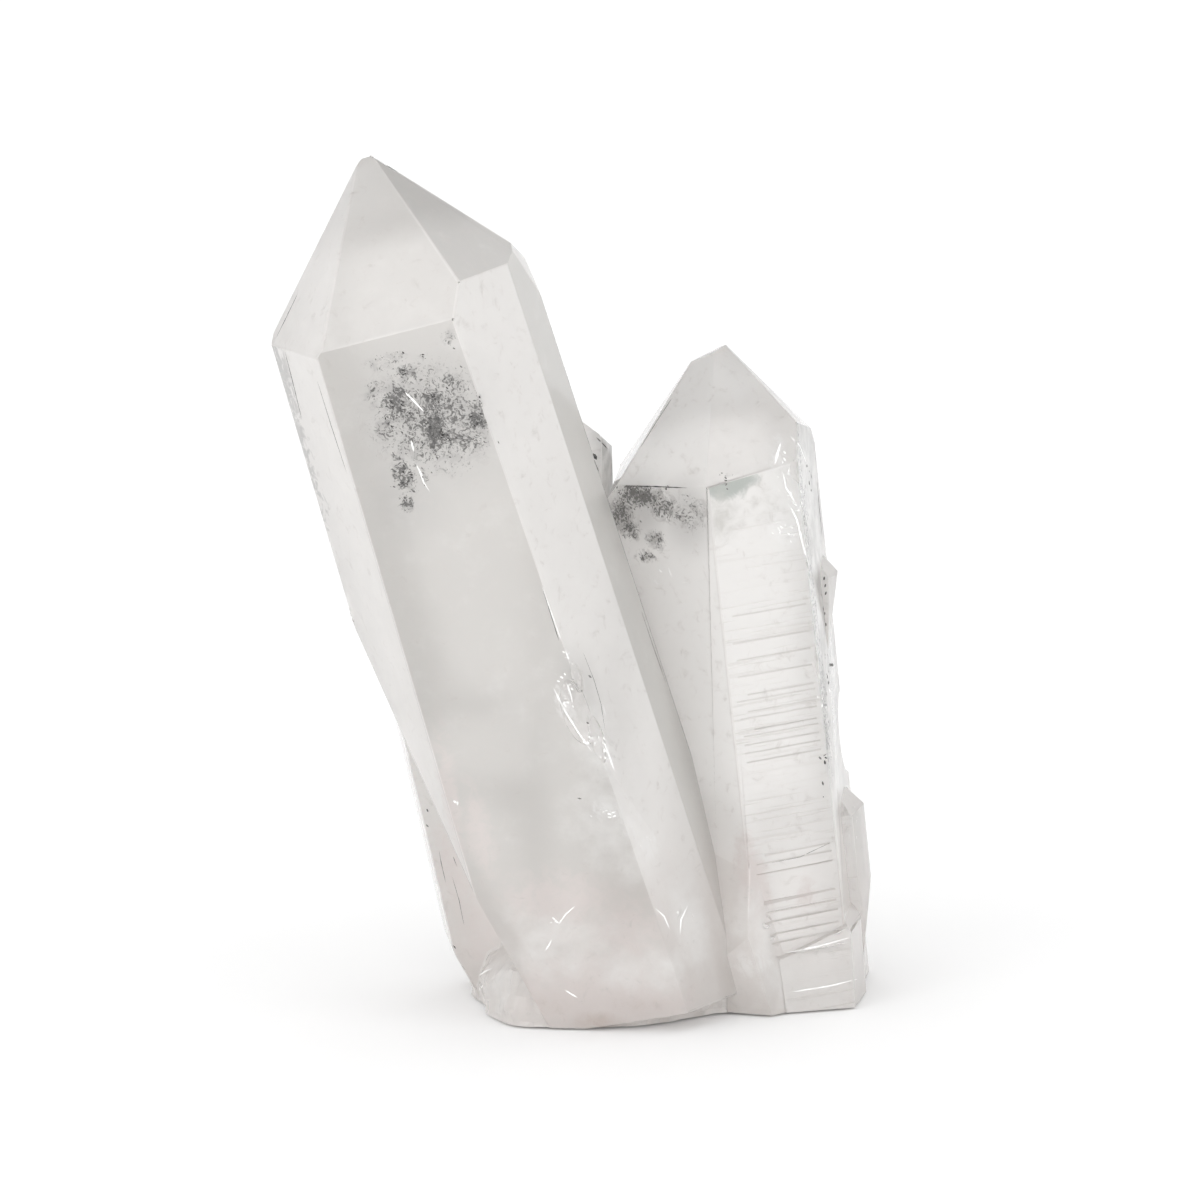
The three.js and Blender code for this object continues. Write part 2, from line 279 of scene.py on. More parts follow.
# Dark lines along edges and steps, and bright cracks. The dark lines along the outlines and round
# the small notch crystal are painted shade, and the bright lines along chipped edges are painted
# highlights.
DARK_LINES_AND_EDGE_SHADE = (
    Streak(0.16, ((622, 486), (655, 486.5), (688, 488))),
    Streak(0.60, ((593, 453), (597, 460))),
    Streak(0.34, ((594, 460), (599, 472))),
    Streak(0.18, ((596, 437), (602, 443), (608, 449))),
    Streak(0.12, ((640, 448), (655, 424), (672, 398))),
    Streak(0.14, ((276, 338), (286, 318), (298, 293))),
    Streak(0.22, ((285, 352), (291, 375), (302, 420))),
    Streak(0.14, ((317, 380), (331, 425), (347, 474))),
    Streak(0.16, ((386, 165), (398, 172))),
    Streak(0.26, ((817, 480), (819, 505), (822, 536))),
    Streak(0.10, ((543, 590), (551, 615), (559, 641))),
    Streak(0.07, ((583, 652), (594, 680), (601, 704), (605, 730))),
    Streak(0.12, ((641, 610), (653, 646), (666, 683))),
    Streak(0.30, ((588, 675), (592, 678))),
    Streak(0.30, ((586, 722), (590, 724))),
    Streak(0.22, ((577, 798), (582, 799))),
    Streak(0.26, ((453, 945), (456, 949))),
    Streak(0.07, ((439, 850), (441, 862), (446, 884))),
    Streak(0.08, ((453, 856), (457, 867))),
    Streak(0.06, ((452, 876), (459, 900), (464, 925))),
    Streak(0.05, ((770, 863), (800, 857), (836, 840))),
)
# Bright cracks, and painted highlights along the chipped edges.
CRACKS_AND_EDGE_HIGHLIGHTS = (
    Streak(0.22, ((553, 687), (565, 711), (578, 732), (592, 752))),
    Streak(0.22, ((566, 682), (570, 692), (573, 704))),
    Streak(0.20, ((565, 650), (569, 660))),
    Streak(0.20, ((603, 704), (606, 716))),
    Streak(0.32, ((604, 742), (609, 755), (615, 772))),
    Streak(0.16, ((542, 586), (551, 612), (561, 640))),
    Streak(0.24, ((405, 392), (414, 401), (424, 412))),
    Streak(0.22, ((416, 464), (421, 474), (424, 483), (430, 492))),
    Streak(0.22, ((411, 440), (414, 452))),
    Streak(0.20, ((558, 925), (566, 914), (575, 906))),
    Streak(0.18, ((545, 951), (549, 945), (552, 939))),
    Streak(0.22, ((565, 990), (571, 994), (578, 998))),
    Streak(0.24, ((478, 976), (486, 971), (493, 968))),
    Streak(0.26, ((653, 578), (658, 585))),
    Streak(0.24, ((668, 567), (672, 578))),
    Streak(0.34, ((682, 583), (688, 583))),
    Streak(0.22, ((789, 504), (797, 520), (803, 545), (809, 566))),
    Streak(0.20, ((783, 472), (786, 488), (796, 503))),
    Streak(0.36, ((775, 464), (778, 452), (781, 442))),
    Streak(0.30, ((688, 905), (681, 920), (680, 936))),
    Streak(0.26, ((790, 436), (800, 446), (806, 462))),
    Streak(0.18, ((785, 953), (820, 946), (852, 937))),
    Streak(0.16, ((792, 992), (830, 986), (858, 979))),
    Streak(0.22, ((655, 908), (664, 916), (670, 930))),
)

# Tints that are laid over the colour of the clear crystal; several are painted light and painted shade, as
# noted at each.
CLOUD_COLOUR = (0.62, 0.61, 0.58)
# Painted light: the near-white tint of the tips and of the faces that are painted as lit.
PAINTED_LIGHT_COLOUR = (0.95, 0.94, 0.925)
# Painted shade on the left point's front and tip faces.
FRONT_SHADE_COLOUR = (0.65, 0.635, 0.61)
TIP_SHADE_COLOUR = (0.60, 0.59, 0.575)
# Grey of the haze round the clouds, and of the painted shade on the left point's left side.
HAZE_AND_SHADE_COLOUR = (0.42, 0.415, 0.41)
# Painted shade on the right point's right side, which is seen edge on.
SIDE_SHADE_COLOUR = (0.34, 0.34, 0.33)
FOOT_COLOUR = (0.74, 0.70, 0.675)
# Painted shade on the left point's narrow flank face.
FLANK_SHADE_COLOUR = (0.60, 0.595, 0.57)
MILK_COLOUR = (0.95, 0.945, 0.93)
GREEN_COLOUR = (0.40, 0.44, 0.41)
LINE_COLOUR = (0.62, 0.58, 0.54)
BREAK_COLOUR = (0.93, 0.91, 0.89)
MOTTLE_COLOUR = (0.95, 0.95, 0.95)
WHITE = (1.0, 1.0, 1.0)
# The volume between the faces takes a little of the light.
INNER_COLOUR = (0.60, 0.56, 0.52)
INNER_DENSITY = 6.0
# The two tones of the sawn base, the lighter tone of the dark flaws and painted edge shade, and the darker
# tone of the bright flaws and painted highlights.
SAWN_COLOURS = ((0.82, 0.78, 0.75), (0.92, 0.90, 0.88))
DARK_FLAW_AND_SHADE_LIGHT = (0.20, 0.195, 0.19)
BRIGHT_FLAW_AND_HIGHLIGHT_DARK = (0.88, 0.87, 0.86)
FLOOR_COLOUR = (0.93, 0.93, 0.93)
# Painted light and shade on marked faces: each face, how strongly it is tinted, and its tint. The
# first lie under the grey haze and the others over it.
PAINTED_LIGHT_AND_SHADE_UNDER_HAZE = (
    ("right_inner", 0.95, PAINTED_LIGHT_COLOUR),
    ("left_front", 0.85, FRONT_SHADE_COLOUR),
    ("left_tip", 0.35, FRONT_SHADE_COLOUR),
    ("left_tip_right", 0.95, TIP_SHADE_COLOUR),
    ("right_tip_left", 0.9, PAINTED_LIGHT_COLOUR),
)
PAINTED_LIGHT_AND_SHADE_OVER_HAZE = (
    ("left_bright", 0.5, PAINTED_LIGHT_COLOUR),
    ("right_front", 0.7, PAINTED_LIGHT_COLOUR),
    ("left_flank", 0.8, FLANK_SHADE_COLOUR),
)
# Suns that stand in for large soft lamps: the way that each shines and how strong it is.
SUNS = (
    ("soft_key", Vector((-0.85, 0.5, -0.2)), 0.5),
    ("soft_fill", Vector((0.7, 0.6, -0.25)), 0.9),
    ("soft_front", Vector((0.1, 0.95, -0.3)), 0.5),
)
SUN_SPREAD = math.radians(50)


class BodySettings(bpy.types.PropertyGroup):
    """Sizes and colours of the clear crystal body."""

    edge_width: bpy.props.FloatProperty(
        name="Edge Width",
        description="Width of the fine worn strip along the long crystal edges",
        default=0.22 * MM,
        min=0.0,
        unit="LENGTH",
    )
    break_relief: bpy.props.FloatProperty(
        name="Break Relief",
        description="Height of the roughness on chips and on the broken foot",
        default=0.55 * MM,
        min=0.0,
        unit="LENGTH",
    )
    haze: bpy.props.FloatProperty(
        name="Haze",
        description="How much the faces blur what is seen through them",
        default=0.46,
        min=0.0,
        max=1.0,
        subtype="FACTOR",
    )
    body_colour: bpy.props.FloatVectorProperty(
        name="Body Colour",
        description="Tint of the clear crystal",
        default=(0.875, 0.855, 0.835),
        min=0.0,
        max=1.0,
        subtype="COLOR",
    )
    foot_colour: bpy.props.FloatVectorProperty(
        name="Foot Colour",
        description="Tint of the brownish stain near the foot",
        default=(0.83, 0.775, 0.75),
        min=0.0,
        max=1.0,
        subtype="COLOR",
    )
    pink_colour: bpy.props.FloatVectorProperty(
        name="Pink Colour",
        description="Tint of the pinkish patches low in the cluster",
        default=(0.79, 0.725, 0.705),
        min=0.0,
        max=1.0,
        subtype="COLOR",
    )
    brown_colour: bpy.props.FloatVectorProperty(
        name="Brown Colour",
        description="Tint of the darkest stain, under the left point",
        default=(0.55, 0.45, 0.40),
        min=0.0,
        max=1.0,
        subtype="COLOR",
    )


class FlawSettings(bpy.types.PropertyGroup):
    """Sizes and colours of the specks, clouds, cracks and chips, and of the painted shade and highlights
    along some edges.
    """

    speck_length: bpy.props.FloatProperty(
        name="Speck Length",
        description="Length of a dark speck in the left point",
        default=0.27 * MM,
        min=0.05 * MM,
        unit="LENGTH",
    )
    # Also the darkest tone of the painted shade along the outlines.
    speck_and_shade_colour: bpy.props.FloatVectorProperty(
        name="Speck Colour",
        description="Colour of the darkest specks",
        default=(0.03, 0.028, 0.026),
        min=0.0,
        max=1.0,
        subtype="COLOR",
    )
    smear_colour: bpy.props.FloatVectorProperty(
        name="Smear Colour",
        description="Colour of the grey clouds round the specks",
        default=(0.46, 0.45, 0.44),
        min=0.0,
        max=1.0,
        subtype="COLOR",
    )
    # Also the colour of the painted shade in wisps along the right point's front edge.
    wisp_and_shade_colour: bpy.props.FloatVectorProperty(
        name="Wisp Colour",
        description="Colour of the fine dark wisps in the clouds",
        default=(0.07, 0.068, 0.065),
        min=0.0,
        max=1.0,
        subtype="COLOR",
    )
    # Also the colour of the painted highlights on chipped edges.
    flake_and_highlight_colour: bpy.props.FloatVectorProperty(
        name="Flake Colour",
        description="Colour of the bright cracks and chips",
        default=(0.97, 0.965, 0.955),
        min=0.0,
        max=1.0,
        subtype="COLOR",
    )


class StageSettings(bpy.types.PropertyGroup):
    """The floor, the lights and the camera."""

    lens: bpy.props.FloatProperty(
        name="Lens",
        description="Focal length of the camera, in millimetres on a 36 mm sensor",
        default=150.0,
        min=20.0,
    )
    camera_height_angle: bpy.props.FloatProperty(
        name="Camera Elevation",
        description="Angle by which the camera looks down on the cluster",
        default=math.radians(10.0),
        subtype="ANGLE",
    )
    camera_distance: bpy.props.FloatProperty(
        name="Camera Distance",
        description="Distance from the camera to the point that it looks at",
        default=572.5 * MM,
        unit="LENGTH",
    )
    camera_target: bpy.props.FloatVectorProperty(
        name="Camera Target",
        description="The point that the camera looks at",
        default=(2.311 * MM, 0.765 * MM, 46.87 * MM),
        subtype="TRANSLATION",
        unit="LENGTH",
    )
    surround: bpy.props.FloatProperty(
        name="Surround",
        description="Brightness of the white tent round the cluster",
        default=1.0,
        min=0.0,
    )


def settings():
    return bpy.context.scene.quartz_body, bpy.context.scene.quartz_flaws, bpy.context.scene.quartz_stage


def pick(piece):
    """Deselects everything but this piece and makes it the active one."""
    bpy.ops.object.select_all(action="DESELECT")
    piece.select_set(True)
    bpy.context.view_layer.objects.active = piece


def finish_piece(piece, material):
    """Gives a piece its material and fixes it to the cluster's body."""
    piece.data.materials.clear()
    piece.data.materials.append(material)
    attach(piece, BODY)
    return piece


class Sight:
    """The camera's view of the cluster, for placing what is seen on or through a face of it."""

    def __init__(self):
        _, _, stage = settings()
        angle = stage.camera_height_angle
        self.forward = Vector((0.0, math.cos(angle), -math.sin(angle)))
        self.up = Vector((0.0, math.sin(angle), math.cos(angle)))
        self.right = Vector((1.0, 0.0, 0.0))
        self.eye = Vector(stage.camera_target) - stage.camera_distance * self.forward
        self.scale = SENSOR / PHOTO_SIZE / stage.lens
        self.pixel = stage.camera_distance * self.scale
        solid = bmesh.new()
        solid.from_mesh(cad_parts[NODE].data)
        self.tree = BVHTree.FromBMesh(solid)
        solid.free()

    def ray(self, x, y):
        half = PHOTO_SIZE / 2
        across = (x - half) * self.scale
        down = (y - half) * self.scale
        return (self.forward + across * self.right - down * self.up).normalized()

    def sees(self, x, y):
        return self.tree.ray_cast(self.eye, self.ray(x, y))[0] is not None

    def inside(self, x, y, depth=0.0):
        """The place that is seen at a pixel, this deep under the face that it is seen through."""
        ray = self.ray(x, y)
        hit, normal, _, _ = self.tree.ray_cast(self.eye, ray)
        if hit is None:
            raise RuntimeError(f"the crystal isn't seen at pixel {x}, {y}")
        ratio = 1.0 / QUARTZ_IOR
        cosine = -normal.dot(ray)
        bent = ratio * ray + (ratio * cosine - math.sqrt(1.0 - ratio**2 * (1.0 - cosine**2))) * normal
        return hit + bent * (depth / -normal.dot(bent)), normal

    def flow(self, degrees, normal):
        """A direction along a face that is seen this many degrees below the horizontal."""
        angle = math.radians(degrees)
        way = math.cos(angle) * self.right - math.sin(angle) * self.up
        return (way - normal * normal.dot(way)).normalized()


# Materials


def link(tree, source, target):
    tree.links.new(source, target)


def new_material(name):
    material = bpy.data.materials.new(name)
    material.use_nodes = True
    tree = material.node_tree
    return material, tree, tree.nodes["Principled BSDF"], tree.nodes["Material Output"]


def new_group(name, inputs, outputs):
    """A shader node group with number or vector inputs, each with its default."""
    group = bpy.data.node_groups.new(name, "ShaderNodeTree")
    for label, value in inputs.items():
        kind = "NodeSocketVector" if isinstance(value, tuple) else "NodeSocketFloat"
        socket = group.interface.new_socket(label, in_out="INPUT", socket_type=kind)
        socket.default_value = value
    for label in outputs:
        group.interface.new_socket(label, in_out="OUTPUT", socket_type="NodeSocketFloat")
    return group, group.nodes.new("NodeGroupInput"), group.nodes.new("NodeGroupOutput")


def use_group(tree, group, **values):
    node = tree.nodes.new("ShaderNodeGroup")
    node.node_tree = group
    for label, value in values.items():
        node.inputs[label.replace("_", " ")].default_value = value
    return node


def math_node(tree, operation, first, second=None, clamp=False):
    node = tree.nodes.new("ShaderNodeMath")
    node.operation = operation
    node.use_clamp = clamp
    for socket, value in zip(node.inputs, (first, second)):
        if value is None:
            continue
        if isinstance(value, (int, float)):
            socket.default_value = value
        else:
            link(tree, value, socket)
    return node.outputs[0]


def times(tree, first, second):
    return math_node(tree, "MULTIPLY", first, second)


def plus(tree, first, second):
    return math_node(tree, "ADD", first, second)


def map_range(tree, value, low, high, to_low=0.0, to_high=1.0):
    node = tree.nodes.new("ShaderNodeMapRange")
    node.interpolation_type = "SMOOTHSTEP"
    for socket, number in zip(("From Min", "From Max", "To Min", "To Max"), (low, high, to_low, to_high)):
        node.inputs[socket].default_value = number
    link(tree, value, node.inputs["Value"])
    return node.outputs["Result"]


def object_place(tree, turn=(0.0, 0.0, 0.0), stretch=(1.0, 1.0, 1.0)):
    """Object coordinates, turned and then stretched."""
    place = tree.nodes.new("ShaderNodeTexCoord")
    turned = tree.nodes.new("ShaderNodeMapping")
    turned.inputs["Rotation"].default_value = turn
    stretched = tree.nodes.new("ShaderNodeMapping")
    stretched.inputs["Scale"].default_value = stretch
    link(tree, place.outputs["Object"], turned.inputs["Vector"])
    link(tree, turned.outputs["Vector"], stretched.inputs["Vector"])
    return stretched.outputs["Vector"]


def noise_node(tree, place, cell, detail=3.0, roughness=0.5, distortion=0.0):
    """Noise whose coarsest lumps are about this size."""
    node = tree.nodes.new("ShaderNodeTexNoise")
    node.inputs["Scale"].default_value = 1.0 / cell
    node.inputs["Detail"].default_value = detail
    node.inputs["Roughness"].default_value = roughness
    node.inputs["Distortion"].default_value = distortion
    link(tree, place, node.inputs["Vector"])
    return node.outputs["Fac"]


def attribute(tree, name):
    node = tree.nodes.new("ShaderNodeAttribute")
    node.attribute_name = name
    return node.outputs["Fac"]


def opaque(colour):
    return (*colour, 1.0)


def mix_colours(tree, factor, first, second):
    node = tree.nodes.new("ShaderNodeMix")
    node.data_type = "RGBA"
    link(tree, factor, node.inputs["Factor"])
    for socket, value in ((node.inputs[6], first), (node.inputs[7], second)):
        if isinstance(value, tuple):
            socket.default_value = value
        else:
            link(tree, value, socket)
    return node.outputs[2]


def soft_patch_group():
    """A soft ellipsoid in the object's space: full in its middle and nothing outside it."""
    group, given, made = new_group(
        "soft_patch",
        {
            "Place": (0.0, 0.0, 0.0),
            "Centre": (0.0, 0.0, 0.0),
            "Turn": (0.0, 0.0, 0.0),
            "Size": (1.0, 1.0, 1.0),
            "Strength": 1.0,
        },
        ("Mask",),
    )
    local = group.nodes.new("ShaderNodeMapping")
    local.vector_type = "TEXTURE"
    sockets = (("Place", "Vector"), ("Centre", "Location"), ("Turn", "Rotation"), ("Size", "Scale"))
    for label, socket in sockets:
        link(group, given.outputs[label], local.inputs[socket])
    away = group.nodes.new("ShaderNodeVectorMath")
    away.operation = "LENGTH"
    link(group, local.outputs["Vector"], away.inputs[0])
    mask = map_range(group, away.outputs["Value"], 1.0, 0.1)
    link(group, times(group, mask, given.outputs["Strength"]), made.inputs["Mask"])
    return group


def growth_lines_group():
    """Fine steps across a prism: thin lines square to the growth axis, in bands."""
    group, given, made = new_group(
        "growth_lines", {"Lines per Metre": 2600.0, "Bands per Metre": 110.0}, ("Line",)
    )
    lean = math.atan2(RIGHT_AXIS.x, RIGHT_AXIS.z)
    flat = object_place(group, turn=(0.0, -lean, 0.0), stretch=(0.03, 0.03, 1.0))
    fine = group.nodes.new("ShaderNodeTexNoise")
    fine.inputs["Detail"].default_value = 2.0
    fine.inputs["Roughness"].default_value = 0.6
    link(group, flat, fine.inputs["Vector"])
    link(group, given.outputs["Lines per Metre"], fine.inputs["Scale"])
    broad = group.nodes.new("ShaderNodeTexNoise")
    broad.inputs["Detail"].default_value = 1.0
    link(group, flat, broad.inputs["Vector"])
    link(group, given.outputs["Bands per Metre"], broad.inputs["Scale"])
    line = map_range(group, fine.outputs["Fac"], 0.54, 0.66)
    band = map_range(group, broad.outputs["Fac"], 0.42, 0.56)
    link(group, times(group, line, band), made.inputs["Line"])
    return group


def patch_mask(tree, group, sight, patches, face=None, grow=1.0):
    """The strongest of these patches at each place, on one marked face or on all faces."""
    whole = None
    place = object_place(tree)
    for patch in patches:
        centre, _ = sight.inside(patch.x, patch.y)
        node = use_group(
            tree,
            group,
            Centre=centre,
            Turn=(0.0, math.radians(patch.turn), 0.0),
            Size=(patch.across * grow * sight.pixel, PATCH_DEPTH, patch.down * grow * sight.pixel),
            Strength=patch.strength,
        )
        link(tree, place, node.inputs["Place"])
        mask = node.outputs["Mask"]
        whole = mask if whole is None else math_node(tree, "MAXIMUM", whole, mask)
    return times(tree, whole, attribute(tree, face)) if face else whole


def feathered(tree, mask, pattern, low, high, reach=0.55):
    """Breaks a soft mask up with a noise pattern, so that it fades out in wisps."""
    return map_range(tree, plus(tree, pattern, times(tree, mask, reach)), low, high)


Noises = namedtuple("Noises", "smoky smoke streaky wisps mottle")


def quartz_noises(tree, place):
    """The patterns that break up the tints, the clouds and the wisps."""
    smoky = noise_node(tree, place, 1.5 * MM, detail=6.0, roughness=0.62, distortion=0.6)
    smoke = map_range(tree, smoky, 0.34, 0.66)
    drawn_out = object_place(tree, turn=(0.0, 0.35, 0.0), stretch=(1.0, 1.0, 0.4))
    streaky = noise_node(tree, drawn_out, 1.0 * MM, detail=6.0, roughness=0.68)
    streaky = map_range(tree, streaky, 0.36, 0.64)
    wisps = noise_node(tree, place, 0.62 * MM, detail=5.0, roughness=0.72, distortion=1.6)
    wisps = map_range(tree, wisps, 0.34, 0.66)
    mottle = noise_node(tree, place, 3.4 * MM, detail=5.0, roughness=0.6)
    return Noises(smoky, smoke, streaky, wisps, mottle)


def ground_colour(tree, height, mottle):
    """The crystal's own colour: browner towards the foot and faintly mottled."""
    body, _, _ = settings()
    stain = map_range(tree, height, 8 * MM, -16 * MM)
    tint = mix_colours(tree, stain, opaque(body.body_colour), opaque(body.foot_colour))
    pale = mix_colours(tree, map_range(tree, mottle, 0.35, 0.65), opaque(MOTTLE_COLOUR), opaque(WHITE))
    shade = tree.nodes.new("ShaderNodeMix")
    shade.data_type = "RGBA"
    shade.blend_type = "MULTIPLY"
    shade.inputs["Factor"].default_value = 1.0
    link(tree, tint, shade.inputs[6])
    link(tree, pale, shade.inputs[7])
    return shade.outputs[2]


def quartz_layers(tree, split, height, line, broken, noises):
    """The tints over the ground colour, from the lowest to the top one: each one's mask and colour.
    Several are painted light and shade, as noted.
    """
    body, flaws, _ = settings()
    sight = Sight()
    group = soft_patch_group()

    def mask(patches, face=None, grow=1.0):
        return patch_mask(tree, group, sight, patches, face, grow)

    def fade(soft, pattern, low, high, reach=0.55):
        return feathered(tree, soft, pattern, low, high, reach)

    def face_tints(rows):
        return [(times(tree, attribute(tree, face), share), colour) for face, share, colour in rows]

    left_veil = mask(LEFT_SMEARS, "left_front")
    right_veil = mask(RIGHT_SMEARS, "right_inner")
    white = mask(WHITE_CHIPS_AND_HIGHLIGHTS, grow=1.8)
    pink = mask(PINK_PATCHES, grow=1.4)
    haze = mask(HAZE_PATCHES)
    milk = mask(MILK_PATCHES, grow=1.6)
    left_outline_shade = mask(LEFT_OUTLINE_SHADE, "left_side")
    # Painted shade on the right point's right side above the foot, mottled, with darker wisps along its
    # front edge.
    above_foot = map_range(tree, split.outputs["Z"], 18 * MM, 32 * MM)
    right_side = times(tree, attribute(tree, "right_side"), above_foot)
    side_shade_mottle = map_range(tree, noises.mottle, 0.36, 0.64, 0.25, 0.9)
    inward = plus(tree, split.outputs["Y"], times(tree, noises.smoky, 7 * MM))
    front_edge_shade = times(tree, right_side, map_range(tree, inward, 8 * MM, 4 * MM))
    foot = map_range(tree, height, 14 * MM, -10 * MM)
    foot_share = map_range(tree, attribute(tree, "right_front"), 0.0, 1.0, 0.85, 0.1)
    return (
        # Painted highlights on the two tips.
        (mask(PAINTED_TIP_HIGHLIGHTS), PAINTED_LIGHT_COLOUR),
        # Painted light and shade on whole faces, under the haze.
        *face_tints(PAINTED_LIGHT_AND_SHADE_UNDER_HAZE),
        (times(tree, haze, 0.75), HAZE_AND_SHADE_COLOUR),
        # Painted shade in streaks on the left point's left side.
        (fade(left_outline_shade, noises.smoke, 0.95, 1.7, reach=1.2), HAZE_AND_SHADE_COLOUR),
        # Painted light and shade on whole faces, over the haze.
        *face_tints(PAINTED_LIGHT_AND_SHADE_OVER_HAZE),
        (times(tree, foot, foot_share), FOOT_COLOUR),
        (fade(pink, noises.smoky, 0.5, 1.0), body.pink_colour),
        (fade(mask(BROWN_PATCHES), noises.smoky, 0.60, 1.7), body.brown_colour),
        (times(tree, line, 0.3), LINE_COLOUR),
        (fade(milk, noises.mottle, 0.5, 1.3), MILK_COLOUR),
        (times(tree, broken, 0.5), BREAK_COLOUR),
        # Bright chips, partly painted highlights along the chipped edges.
        (times(tree, fade(white, noises.streaky, 1.0, 1.9, reach=1.1), 0.8), flaws.flake_and_highlight_colour),
        # Painted shade on the right point's right side, then darker wisps of it along the front edge.
        (times(tree, right_side, side_shade_mottle), SIDE_SHADE_COLOUR),
        (fade(front_edge_shade, noises.wisps, 1.2, 1.6, reach=0.8), flaws.wisp_and_shade_colour),
        (fade(mask(GREEN_PATCHES, "right_front"), noises.smoky, 0.55, 1.1), GREEN_COLOUR),
        (fade(mask(RIGHT_FRONT_SMEARS, "right_front"), noises.smoky, 0.55, 1.3), CLOUD_COLOUR),
        (fade(left_veil, noises.smoke, 1.0, 1.8, reach=1.35), flaws.smear_colour),
        (fade(right_veil, noises.smoke, 1.0, 1.8, reach=1.35), flaws.smear_colour),
        (fade(left_veil, noises.wisps, 1.05, 1.4, reach=0.85), flaws.wisp_and_shade_colour),
        (fade(right_veil, noises.wisps, 1.15, 1.5, reach=0.85), flaws.wisp_and_shade_colour),
    )


def quartz_relief(tree, place, line, broken):
    """The normal of faces that swell a little, with growth lines cut in and grain where broken."""
    swell = noise_node(tree, place, 11 * MM, detail=2.0)
    grain = noise_node(tree, place, 0.7 * MM, detail=3.0)
    relief = times(tree, swell, 0.25)
    relief = plus(tree, relief, times(tree, line, -0.6))
    relief = plus(tree, relief, times(tree, broken, grain))
    bump = tree.nodes.new("ShaderNodeBump")
    bump.inputs["Strength"].default_value = 0.5
    bump.inputs["Distance"].default_value = 0.2 * MM
    link(tree, relief, bump.inputs["Height"])
    return bump.outputs["Normal"]


def clear_quartz():
    """See-through quartz: polished over a faint haze, stained at the foot, rough where broken, with
    painted light and shade on some faces and places.
    """
    body, _, _ = settings()
    material, tree, shader, out = new_material("clear_quartz")
    broken = attribute(tree, "broken")
    place = object_place(tree)
    split = tree.nodes.new("ShaderNodeSeparateXYZ")
    link(tree, place, split.inputs["Vector"])
    drift = noise_node(tree, place, 18 * MM, detail=4.0)
    height = plus(tree, split.outputs["Z"], times(tree, drift, -26 * MM))
    lines = use_group(tree, growth_lines_group()).outputs["Line"]
    line = times(tree, lines, attribute(tree, "right_front"))
    noises = quartz_noises(tree, place)

    tint = ground_colour(tree, height, noises.mottle)
    for factor, colour in quartz_layers(tree, split, height, line, broken, noises):
        tint = mix_colours(tree, factor, tint, opaque(colour))
    link(tree, tint, shader.inputs["Base Color"])

    rough = plus(tree, times(tree, noises.mottle, 0.12), body.haze - 0.06)
    rough = math_node(tree, "ADD", rough, times(tree, broken, 0.22), clamp=True)
    link(tree, rough, shader.inputs["Roughness"])

    shader.inputs["Transmission Weight"].default_value = 0.64
    shader.inputs["IOR"].default_value = QUARTZ_IOR
    shader.inputs["Coat Weight"].default_value = 1.0
    shader.inputs["Coat Roughness"].default_value = 0.06
    shader.inputs["Coat IOR"].default_value = 1.5
    link(tree, quartz_relief(tree, place, line, broken), shader.inputs["Normal"])

    inside = tree.nodes.new("ShaderNodeVolumeAbsorption")
    inside.inputs["Color"].default_value = opaque(INNER_COLOUR)
    inside.inputs["Density"].default_value = INNER_DENSITY
    link(tree, inside.outputs["Volume"], out.inputs["Volume"])
    return material


def sawn_base():
    """The frosted face where the cluster was cut off."""
    material, tree, shader, _ = new_material("sawn_base")
    grain = noise_node(tree, object_place(tree), 1.1 * MM, detail=4.0)
    tint = mix_colours(tree, grain, *map(opaque, SAWN_COLOURS))
    link(tree, tint, shader.inputs["Base Color"])
    shader.inputs["Roughness"].default_value = 0.9
    return material


def flaw_material(name, dark, light, cell, roughness):
    """An opaque flaw whose tone changes from shard to shard."""
    material, tree, shader, _ = new_material(name)
    tone = noise_node(tree, object_place(tree), cell, detail=2.0)
    tint = mix_colours(tree, map_range(tree, tone, 0.38, 0.64), opaque(dark), opaque(light))
    link(tree, tint, shader.inputs["Base Color"])
    shader.inputs["Roughness"].default_value = roughness
    return material


# The clear body

# Edges that get a worn strip: longer, sharper and between larger faces than these.
WORN_EDGE_LENGTH = 3.5 * MM
WORN_EDGE_ANGLE = math.radians(12)
WORN_EDGE_FACE = 6 * MM * MM
# Faces that are roughened: smaller than this, and compact or low on the foot.
BREAK_FACE = 7 * MM * MM
FOOT_HEIGHT = 11 * MM
# A face whose squared outline is more than this many times its area is a sliver.
SLIVER = 34
# How high above the cut a corner or a face still counts as part of the sawn base.
BASE_HEIGHT = 0.05 * MM


def merged_copy():
    """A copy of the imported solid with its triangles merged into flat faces."""
    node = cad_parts[NODE]
    piece = bpy.data.objects.new("crystal_cluster", node.data.copy())
    bpy.context.scene.collection.objects.link(piece)
    pick(piece)
    bpy.ops.object.mode_set(mode="EDIT")
    bpy.ops.mesh.customdata_custom_splitnormals_clear()
    bpy.ops.mesh.select_all(action="SELECT")
    bpy.ops.mesh.remove_doubles(threshold=0.002 * MM)
    bpy.ops.mesh.dissolve_limited(angle_limit=math.radians(0.4))
    bpy.ops.object.mode_set(mode="OBJECT")
    return piece


def edit_mesh(piece):
    mesh = bmesh.from_edit_mesh(piece.data)
    mesh.faces.ensure_lookup_table()
    mesh.edges.ensure_lookup_table()
    mesh.verts.ensure_lookup_table()
    return mesh


def select_only(piece, faces=(), edges=()):
    """In edit mode, selects these faces or edges and nothing else."""
    bpy.ops.mesh.select_all(action="DESELECT")
    for element in (*faces, *edges):
        element.select_set(True)
    bmesh.update_edit_mesh(piece.data)


